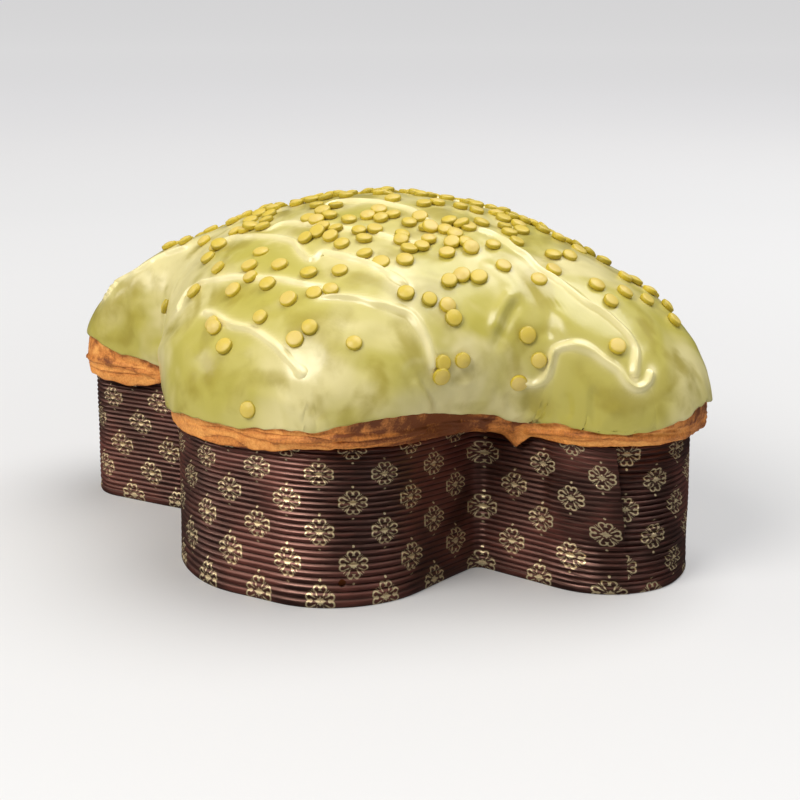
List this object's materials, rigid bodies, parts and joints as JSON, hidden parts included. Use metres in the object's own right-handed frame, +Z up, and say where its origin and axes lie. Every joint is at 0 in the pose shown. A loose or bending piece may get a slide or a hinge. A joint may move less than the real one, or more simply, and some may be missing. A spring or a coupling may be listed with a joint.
{
  "type": "pistachio colomba",
  "caption": "Dove-shaped Easter bread with pistachio icing, chocolate drops and drizzle, in a corrugated dark brown paper case printed with gold ornaments.",
  "frame": {"origin": "middle of the case's footprint box, on the surface that the case stands on", "axes": "+X from the dove's head to its tail, +Y from one wing to the other, +Z up"},
  "size_m": [0.3144, 0.234, 0.159],
  "materials": {
    "printed_paper": "dark brown corrugated baking paper with gold printed ornaments, satin",
    "crust": "baked orange-brown crust, matt and finely grained",
    "pistachio_icing": "glossy pistachio-green icing with yellow-green chocolate drops and pale drizzle"
  },
  "bodies": {
    "root": {"paper_case": "printed_paper", "bread": "crust", "icing": "pistachio_icing"}
  },
  "joints": []
}
